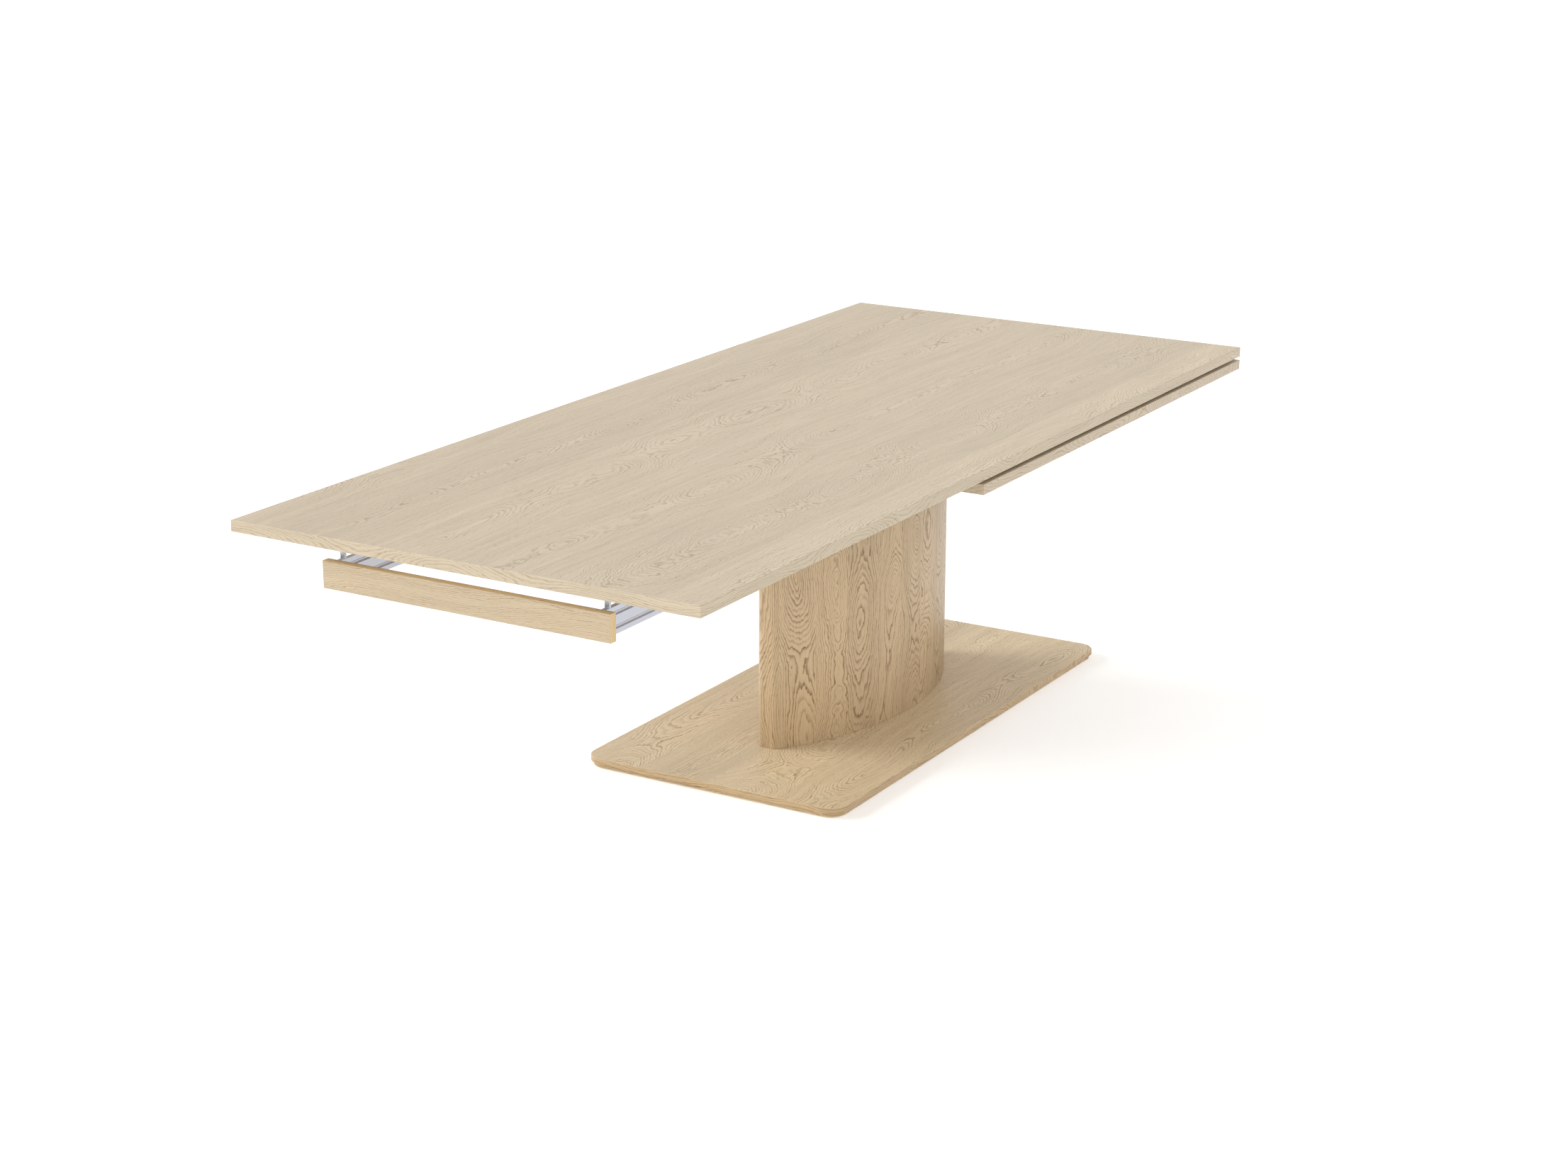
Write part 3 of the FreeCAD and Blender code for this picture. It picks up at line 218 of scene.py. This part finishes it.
    # Each leaf has its own tone, and the tone drifts along it.
    tone = add(tree, "ShaderNodeMath", {0: chance["Green"], 1: 0.12, 2: 0.94},
               operation="MULTIPLY_ADD")
    drift = add(tree, "ShaderNodeMath", {0: grain_noise(300, 34), 1: 0.2, 2: -0.1},
                operation="MULTIPLY_ADD")
    tone = add(tree, "ShaderNodeMath", {0: tone, 1: drift}, operation="ADD")
    shade = add(tree, "ShaderNodeHueSaturation", {"Value": tone, "Color": shade})
    rough = add(tree, "ShaderNodeMath", {0: dark, 1: 0.16, 2: 0.4}, operation="MULTIPLY_ADD")
    height = add(tree, "ShaderNodeMath", {0: pores, 1: -1}, operation="MULTIPLY")
    tree.links.new(shade, end.inputs["Colour"])
    tree.links.new(rough, end.inputs["Roughness"])
    tree.links.new(height, end.inputs["Height"])
    return tree


VENEER = veneer_group()


def material(name, finish):
    """A material whose surface has these fixed values, with its tree for the rest."""
    made = bpy.data.materials.new(name)
    made.use_nodes = True
    surface = made.node_tree.nodes["Principled BSDF"]
    for socket, value in finish.items():
        surface.inputs[socket].default_value = value
    return made, made.node_tree, surface


def spots(tree):
    """Object coordinates and surface direction, in millimetres and absolute."""
    place = add(tree, "ShaderNodeTexCoord", out="Object")
    scaled = add(tree, "ShaderNodeVectorMath", {0: place, "Scale": 1 / MM},
                 operation="SCALE")
    facing = add(tree, "ShaderNodeVectorMath", {0: place.node.outputs["Normal"]},
                 operation="ABSOLUTE")
    return (add(tree, "ShaderNodeSeparateXYZ", {"Vector": scaled}).node.outputs,
            add(tree, "ShaderNodeSeparateXYZ", {"Vector": facing}).node.outputs)


def oak(name, lay, face, edge, leaf_width, ring_width=4.6, figure=0.5, pores=0.4,
        shift=0.0):
    """Oiled oak veneer. lay says how the grain runs; face and edge are each a pale
    and a brown, for the broad faces and for the banded edges."""
    made, tree, surface = material(name, {"IOR": 1.45, "Coat Weight": 0.0})
    if lay == "round":
        # The grain follows the piece's own map: across is round it, along is up.
        mapped = add(tree, "ShaderNodeUVMap", uv_map="grain")
        mapped = add(tree, "ShaderNodeVectorMath", {0: mapped, "Scale": 1 / MM},
                     operation="SCALE")
        mapped = add(tree, "ShaderNodeSeparateXYZ", {"Vector": mapped}).node.outputs
        along, across, banded = mapped["Y"], mapped["X"], None
    else:
        place, facing = spots(tree)
        if lay == "x":
            first, second, third, way = place["X"], place["Y"], place["Z"], facing["Z"]
        else:
            first, second, third, way = place["Y"], place["Z"], place["X"], facing["X"]
        # On an edge the lines run along the edge, on round any corner.
        banded = add(tree, "ShaderNodeMath", {0: way, 1: 0.7}, operation="LESS_THAN")
        along = add(tree, "ShaderNodeMath", {0: banded, 1: second, 2: first},
                    operation="MULTIPLY_ADD")
        swing = add(tree, "ShaderNodeMath", {0: third, 1: second}, operation="SUBTRACT")
        across = add(tree, "ShaderNodeMath", {0: banded, 1: swing, 2: second},
                     operation="MULTIPLY_ADD")
    across = add(tree, "ShaderNodeMath", {0: across, 1: shift}, operation="ADD")
    veneer = add(tree, "ShaderNodeGroup", {
        "Along": along, "Across": across, "Leaf width": leaf_width, "Ring width": ring_width,
        "Figure": figure, "Pores": pores,
    }, node_tree=VENEER).node
    for socket, index in (("Pale", 0), ("Brown", 1)):
        if banded is None or face == edge:
            veneer.inputs[socket].default_value = colour(face[index])
        else:
            mixed = add(tree, "ShaderNodeMix", {
                0: banded, 6: colour(face[index]), 7: colour(edge[index]),
            }, 2, data_type="RGBA")
            tree.links.new(mixed, veneer.inputs[socket])
    if banded is not None:
        straight = add(tree, "ShaderNodeMath", {0: banded, 1: 85}, operation="MULTIPLY")
        tree.links.new(straight, veneer.inputs["Straight"])
    bump = add(tree, "ShaderNodeBump", {
        "Height": veneer.outputs["Height"], "Strength": 0.35, "Distance": 0.3 * MM,
    })
    tree.links.new(veneer.outputs["Colour"], surface.inputs["Base Color"])
    tree.links.new(veneer.outputs["Roughness"], surface.inputs["Roughness"])
    tree.links.new(bump, surface.inputs["Normal"])
    return made


def worked(name, base, variant, roughness, scale, stretch, bump=0.0, spread=0.06, **fixed):
    """A finish with two close colours, and marks of scale mm drawn out by stretch."""
    made, tree, surface = material(name, fixed)
    place = add(tree, "ShaderNodeTexCoord", out="Object")
    mapped = add(tree, "ShaderNodeMapping", {
        "Vector": place,
        "Scale": tuple(1 / (scale * MM * drawn) for drawn in stretch),
    })
    marks = add(tree, "ShaderNodeTexNoise",
                {"Vector": mapped, "Scale": 1, "Detail": 3, "Roughness": 0.6}, "Fac")
    mixed = add(tree, "ShaderNodeMix", {0: marks, 6: colour(base), 7: colour(variant)}, 2,
                data_type="RGBA")
    tree.links.new(mixed, surface.inputs["Base Color"])
    rough = add(tree, "ShaderNodeMapRange", {
        "Value": marks, "From Min": 0.3, "From Max": 0.7,
        "To Min": roughness - spread, "To Max": roughness + spread,
    })
    tree.links.new(rough, surface.inputs["Roughness"])
    if bump:
        raised = add(tree, "ShaderNodeBump",
                     {"Height": marks, "Strength": 0.5, "Distance": bump * MM})
        tree.links.new(raised, surface.inputs["Normal"])
    return made


# Oiled oak veneer: pale, a little grey, satin, with soft arches and fine dark dashes.
OAK_TOP = oak("oak veneer, pale oiled", "x", ("#c8b9a1", "#8d7353"), ("#beb098", "#8d7353"),
              228, figure=0.52, pores=0.42)
OAK_LEAF = oak("oak veneer, pale oiled, leaf", "x", ("#c5b69e", "#8d7353"),
               ("#b9aa93", "#87704f"), 228, figure=0.52, pores=0.42, shift=1140)
OAK_BASE = oak("oak veneer, warm oiled", "x", ("#d9c7a7", "#8f6c42"), ("#bba27c", "#7d5e39"),
               176, figure=0.62, pores=0.45, shift=2112)
OAK_PANEL = oak("oak veneer, amber oiled", "y", ("#bdac90", "#8a663d"), ("#d3b98c", "#9a7547"),
                190, ring_width=3.4, figure=0.55, shift=73)
OAK_COLUMN = oak("oak veneer, upright", "round", ("#c6ae8b", "#6f4e2a"), ("#c6ae8b", "#6f4e2a"),
                 92, figure=0.72, pores=0.55)

# Satin anodised aluminium: cool grey with faint draw lines along its length.
ALUMINIUM = worked("satin anodised aluminium", "#c6c8cf", "#bcbec6", 0.36, 0.8,
                   (250, 1, 1), bump=0.01, Metallic=1.0)
# Powder-coated steel: near black, with a fine orange-peel texture.
BLACK_STEEL = worked("black powder-coated steel", "#1c1d1f", "#232427", 0.5, 1.4,
                     (1, 1, 1), bump=0.05)
# Bright zinc plating: pale and slightly blue, a little cloudy.
ZINC = worked("bright zinc-plated steel", "#c2c6cc", "#a8adb5", 0.33, 6,
              (1, 1, 1), spread=0.1, Metallic=1.0)
# Hobbed steel: darker, with turning marks.
GEAR_STEEL = worked("hobbed carbon steel", "#9b9da1", "#84868a", 0.32, 0.5,
                    (1, 1, 6), bump=0.01, Metallic=1.0)
# Natural acetal: milky white and slightly waxy.
ACETAL = worked("natural acetal", "#e2dfd5", "#d6d2c6", 0.42, 5, (1, 1, 1))
# Glass-filled nylon: dark grey and dull, with a mottled skin.
NYLON = worked("glass-filled nylon", "#2a2b2e", "#34363a", 0.55, 1.2, (6, 1, 1), bump=0.03)
# Pressed wool felt: dull grey-brown, with loose fibres.
FELT = worked("pressed wool felt", "#5d574e", "#746d62", 0.95, 0.9, (3, 3, 1), bump=0.4,
              **{"Sheen Weight": 0.3, "IOR": 1.3})
# Birch plywood: pale yellow faces with darker glue lines between its plies.
PLYWOOD = worked("birch plywood", "#d6bd92", "#b8986a", 0.6, 1.4, (60, 60, 1), bump=0.05)
# Turned beech: pinkish tan, with short flecks.
BEECH = worked("turned beech", "#c99f77", "#b1845b", 0.5, 0.8, (8, 1, 1), bump=0.05)

FINISHES = {
    "oak_top": OAK_TOP, "oak_base": OAK_BASE, "oak_column": OAK_COLUMN,
    "oak_panel": OAK_PANEL, "beech": BEECH, "plywood": PLYWOOD, "felt": FELT,
    "aluminium": ALUMINIUM, "black_steel": BLACK_STEEL, "zinc_steel": ZINC,
    "gear_steel": GEAR_STEEL, "glide_plastic": ACETAL, "rack_plastic": NYLON,
}
for name, thing in nodes.items():
    given = thing.data.materials[0].name
    thing.material_slots[0].material = OAK_LEAF if name == "leaf_board" else FINISHES[given]


# ---------------------------------------------------------------- mesh helpers

def piece(name, mesh, finish, body, slot, *stands_for):
    """Shows a finished mesh on its body, in place of its CAD nodes."""
    mesh.name = name
    if not mesh.materials:
        mesh.materials.append(finish)
    made = bpy.data.objects.new(name, mesh)
    bpy.context.scene.collection.objects.link(made)
    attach(made, body)
    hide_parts(*stands_for)
    return made


def arc(centre, radius, start, stop, steps):
    """Points of an arc, both ends included; angles in radians from +X."""
    return [
        Vector((centre[0] + radius * math.cos(angle), centre[1] + radius * math.sin(angle)))
        for angle in (start + (stop - start) * step / steps for step in range(steps + 1))
    ]


# ---------------------------------------------------------------- column
# A lens on plan: two bent sides that meet narrow flat ends, as one veneered shell.

side_low, side_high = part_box("column_side_left")
end_low, end_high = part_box("column_end_far")
SHELL_WALL = 16 * MM
END_ROUND = 14 * MM
EASE = 0.8 * MM
rise = side_high.y - end_high.y
bend_radius = (side_high.x ** 2 + rise ** 2) / (2 * rise)
bend_centre = side_high.y - bend_radius


def lens(inset, sides=72):
    """The column's outline, anticlockwise from the middle of its far end, set in by inset."""
    tip = end_high.x - inset
    radius = bend_radius - inset
    rounding = END_ROUND - inset
    hub_x = tip - rounding
    hub_y = math.sqrt((radius - rounding) ** 2 - hub_x ** 2) + bend_centre
    lean = math.atan2(hub_y - bend_centre, hub_x)
    quarter = [Vector((tip, hub_y * step / 4)) for step in range(4)]
    quarter += arc((hub_x, hub_y), rounding, 0, lean, 10)[:-1]
    side = arc((0, bend_centre), radius, lean, math.pi - lean, sides)
    half = quarter + side + [Vector((-spot.x, spot.y)) for spot in reversed(quarter)]
    return half[:-1] + [-spot for spot in half[:-1]]


def hollow(wall, sides=48):
    """The room inside the shell, between the two solid end pieces."""
    radius = bend_radius - wall
    lean = math.acos(side_high.x / radius)
    side = arc((0, bend_centre), radius, lean, math.pi - lean, sides)
    return side + [-spot for spot in side]


def column_shell():
    """The shell with eased ends, and a map of the length round it and the height."""
    built = bmesh.new()
    grain = built.loops.layers.uv.new("grain")
    bottom, top = side_low.z, side_high.z
    levels = ((EASE, bottom), (EASE * 0.3, bottom + EASE * 0.3), (0, bottom + EASE),
              (0, top - EASE), (EASE * 0.3, top - EASE * 0.3), (EASE, top))
    outer = [
        [built.verts.new((*spot, height)) for spot in lens(inset)]
        for inset, height in levels
    ]
    room = hollow(SHELL_WALL)
    inner = [[built.verts.new((*spot, height)) for spot in room] for height in (top, bottom)]
    reach = [0.0]
    outline = lens(0)
    for here, there in zip(outline, outline[1:] + outline[:1]):
        reach.append(reach[-1] + (there - here).length)
    for rings in (outer, inner):
        count = len(rings[0])
        for lower, upper in zip(rings, rings[1:]):
            for place in range(count):
                after = (place + 1) % count
                corners = (lower[place], lower[after], upper[after], upper[place])
                face = built.faces.new(corners)
                face.smooth = True
                around = (reach[place % len(outline)], reach[place % len(outline) + 1])
                for loop, along in zip(face.loops, (0, 1, 1, 0)):
                    loop[grain].uv = (around[along], loop.vert.co.z)
    for outside, inside in ((outer[-1], inner[0]), (outer[0], inner[-1])):
        rim = [
            built.edges.get((ring[place - 1], ring[place]))
            for ring in (outside, inside) for place in range(len(ring))
        ]
        filled = bmesh.ops.triangle_fill(built, use_beauty=True, edges=rim)
        for face in filled["geom"]:
            if isinstance(face, bmesh.types.BMFace):
                for loop in face.loops:
                    loop[grain].uv = (loop.vert.co.y, loop.vert.co.x)
    bmesh.ops.recalc_face_normals(built, faces=built.faces)
    made = bpy.data.meshes.new("column shell")
    built.to_mesh(made)
    built.free()
    made.set_sharp_from_angle(angle=math.radians(50))
    return made


piece("column", column_shell(), OAK_COLUMN, "pedestal", "oak_column",
      "column_side_left", "column_side_right", "column_end_near", "column_end_far")


# ---------------------------------------------------------------- screws, bolts and nuts
# Each kind is drawn once and set at every place: a cap with a recess for the key, and a shank.

def fastener_group():
    """Caps and shanks at given places; the outer face of a cap is at its place."""
    tree, source, target = group_of("fasteners", (
        ("Places", "NodeSocketGeometry", None),
        ("Cap sides", "NodeSocketInt", 24),
        ("Cap radius", "NodeSocketFloat", 4.5 * MM),
        ("Cap height", "NodeSocketFloat", 2.4 * MM),
        ("Cap face", "NodeSocketFloat", 0.8),
        ("Recess sides", "NodeSocketInt", 6),
        ("Recess radius", "NodeSocketFloat", 1.9 * MM),
        ("Recess depth", "NodeSocketFloat", 1.1 * MM),
        ("Has shank", "NodeSocketBool", True),
        ("Shank radius", "NodeSocketFloat", 2 * MM),
        ("Length", "NodeSocketFloat", 20 * MM),
        ("Turn", "NodeSocketFloat", 0.0),
        ("Finish", "NodeSocketMaterial", None),
    ), (("Fasteners", "NodeSocketGeometry"),), "GeometryNodeTree")
    given = source.outputs

    def scaled(length, share, plus=0.0):
        return add(tree, "ShaderNodeMath", {0: length, 1: share, 2: plus},
                   operation="MULTIPLY_ADD")

    def lifted(shape, height):
        return add(tree, "GeometryNodeTransform", {
            "Geometry": shape, "Translation": add(tree, "ShaderNodeCombineXYZ", {"Z": height})})

    cap = add(tree, "GeometryNodeMeshCylinder", {
        "Vertices": given["Cap sides"], "Side Segments": 3,
        "Radius": given["Cap radius"], "Depth": given["Cap height"]})
    cap = add(tree, "GeometryNodeScaleElements", {
        "Geometry": cap, "Selection": cap.node.outputs["Bottom"], "Scale": given["Cap face"]})
    cap = lifted(cap, scaled(given["Cap height"], 0.5))
    recess = add(tree, "GeometryNodeMeshCylinder", {
        "Vertices": given["Recess sides"], "Radius": given["Recess radius"],
        "Depth": scaled(given["Recess depth"], 2.0)})
    cap = add(tree, "GeometryNodeMeshBoolean", {"Mesh 1": cap, "Mesh 2": recess},
              operation="DIFFERENCE")
    # The shank starts half-way up the cap, so that no two faces share a plane.
    shank = add(tree, "GeometryNodeMeshCylinder", {
        "Vertices": 16, "Side Segments": 20, "Radius": given["Shank radius"],
        "Depth": scaled(given["Cap height"], -0.5, given["Length"])})
    shank = add(tree, "GeometryNodeScaleElements", {
        "Geometry": shank, "Selection": shank.node.outputs["Top"], "Scale": 0.7})
    middle = scaled(given["Length"], 0.5, scaled(given["Cap height"], 0.25))
    shank = add(tree, "GeometryNodeSwitch", {
        "Switch": given["Has shank"], "True": lifted(shank, middle)}, input_type="GEOMETRY")
    whole = add(tree, "GeometryNodeJoinGeometry", {"Geometry": cap})
    tree.links.new(shank, whole.node.inputs["Geometry"])
    # No two are driven home at quite the same angle.
    spin = add(tree, "FunctionNodeRandomValue", {2: 0.0, 3: math.tau, "Seed": 7}, 1,
               data_type="FLOAT")
    facing = add(tree, "FunctionNodeEulerToRotation", {
        "Euler": add(tree, "ShaderNodeCombineXYZ", {"X": given["Turn"], "Z": spin})})
    spread = add(tree, "GeometryNodeInstanceOnPoints", {
        "Points": given["Places"], "Instance": whole, "Rotation": facing})
    plain = add(tree, "GeometryNodeRealizeInstances", {"Geometry": spread})
    finished = add(tree, "GeometryNodeSetMaterial", {
        "Geometry": plain, "Material": given["Finish"]})
    tree.links.new(finished, target.inputs["Fasteners"])
    return tree


FASTENERS = fastener_group()


def placed(spots, **sizes):
    """One kind of fastener at its spots, as a plain mesh."""
    points = bpy.data.meshes.new("places")
    points.from_pydata(spots, [], [])
    holder = bpy.data.objects.new("places", points)
    bpy.context.scene.collection.objects.link(holder)
    spreader = holder.modifiers.new("fasteners", "NODES")
    spreader.node_group = FASTENERS
    for socket in FASTENERS.interface.items_tree:
        label = socket.name.lower().replace(" ", "_")
        if socket.in_out == "INPUT" and label in sizes:
            spreader[socket.identifier] = sizes[label]
    graph = bpy.context.evaluated_depsgraph_get()
    made = bpy.data.meshes.new_from_object(holder.evaluated_get(graph), depsgraph=graph)
    bpy.data.objects.remove(holder)
    return made


def loose_boxes(name):
    """Low and high corners of each separate solid in a merged copy of a CAD mesh."""
    copy = bmesh.new()
    copy.from_mesh(nodes[name].data)
    bmesh.ops.remove_doubles(copy, verts=copy.verts, dist=0.01 * MM)
    waiting = set(copy.verts)
    boxes = []
    while waiting:
        reached = [waiting.pop()]
        spots = []
        while reached:
            vert = reached.pop()
            spots.append(nodes[name].matrix_world @ vert.co)
            near = {edge.other_vert(vert) for edge in vert.link_edges} & waiting
            waiting -= near
            reached += near
        boxes.append([
            Vector([end(spot[axis] for spot in spots) for axis in range(3)])
            for end in (min, max)
        ])
    copy.free()
    return boxes


SCREW = {"cap_sides": 24, "cap_height": 2.4 * MM, "cap_face": 0.74, "recess_radius": 2 * MM,
         "recess_depth": 1.1 * MM, "shank_radius": 2 * MM}
BOLT = {"cap_sides": 28, "cap_height": 5 * MM, "cap_face": 0.93, "recess_radius": 3.4 * MM,
        "recess_depth": 2.4 * MM, "shank_radius": 4 * MM}
NUT = {"cap_sides": 6, "cap_face": 0.95, "recess_sides": 20, "recess_radius": 4.1 * MM,
       "recess_depth": 6 * MM, "has_shank": False}


def fastened(name, stands_for, body, kind, from_above=False):
    """Fasteners of one kind, and their nuts, on the axes of the solids that they replace."""
    bolts = []
    nuts = []
    for low, high in loose_boxes(stands_for):
        middle = (low + high) / 2
        wide = high.x - low.x
        if high.z - low.z > 1.5 * wide:
            bolts.append((middle.x, middle.y, high.z if from_above else low.z))
            length = high.z - low.z
        else:
            nuts.append((middle.x, middle.y, low.z))
            thick = high.z - low.z
    common = {"finish": ZINC, "cap_radius": wide / 2}
    meshes = [placed(bolts, length=length, turn=math.pi if from_above else 0.0, **common, **kind)]
    if nuts:
        meshes.append(placed(nuts, cap_height=thick, **common, **NUT))
    whole = bmesh.new()
    for mesh in meshes:
        whole.from_mesh(mesh)
    made = bpy.data.meshes.new(name)
    whole.to_mesh(made)
    whole.free()
    made.shade_smooth()
    made.set_sharp_from_angle(angle=math.radians(30))
    piece(name, made, ZINC, body, "zinc_steel", stands_for)


fastened("wood_screws_top", "top_screws", "top_carriage", SCREW)
fastened("wood_screws_leaf", "leaf_screws", "leaf_carriage", SCREW)
fastened("wood_screws_base", "base_screws", "pedestal", SCREW)
fastened("foot_plate_bolts", "foot_bolts", "pedestal", BOLT)
fastened("head_plate_bolts", "head_bolts", "pedestal", BOLT, from_above=True)
fastened("support_beam_bolts", "beam_bolts", "pedestal", BOLT, from_above=True)


# ---------------------------------------------------------------- floor and light

floor_mesh = bpy.data.meshes.new("floor")
side = 40
floor_mesh.from_pydata(
    [(-side, -side, 0), (side, -side, 0), (side, side, 0), (-side, side, 0)],
    [], [(0, 1, 2, 3)])
floor = bpy.data.objects.new("floor", floor_mesh)
bpy.context.scene.collection.objects.link(floor)
FLOOR, floor_tree, floor_surface = material("matt white studio floor", {"Roughness": 0.9})
floor_surface.inputs["Base Color"].default_value = colour("#f2f2f2")
floor_surface.inputs["Emission Color"].default_value = (1, 1, 1, 1)
floor_surface.inputs["Emission Strength"].default_value = 0.3
floor_mesh.materials.append(FLOOR)

world = bpy.data.worlds.new("studio")
world.use_nodes = True
sky = world.node_tree.nodes["Background"]
sky.inputs["Color"].default_value = (1, 1, 1, 1)
sky.inputs["Strength"].default_value = 0.8
bpy.context.scene.world = world

for name, spot, strength, spread in (
    ("low left softbox", (-3.4, 7, 3.5), 2.2, 35),
    ("low front softbox", (-3.6, -4.6, 1.7), 1.0, 70),
):
    light = bpy.data.lights.new(name, "SUN")
    light.energy = strength
    light.angle = math.radians(spread)
    lamp = bpy.data.objects.new(name, light)
    lamp.rotation_euler = (-Vector(spot)).to_track_quat("-Z", "Y").to_euler()
    lamp.location = spot
    bpy.context.scene.collection.objects.link(lamp)

bpy.context.scene.view_settings.view_transform = "Standard"
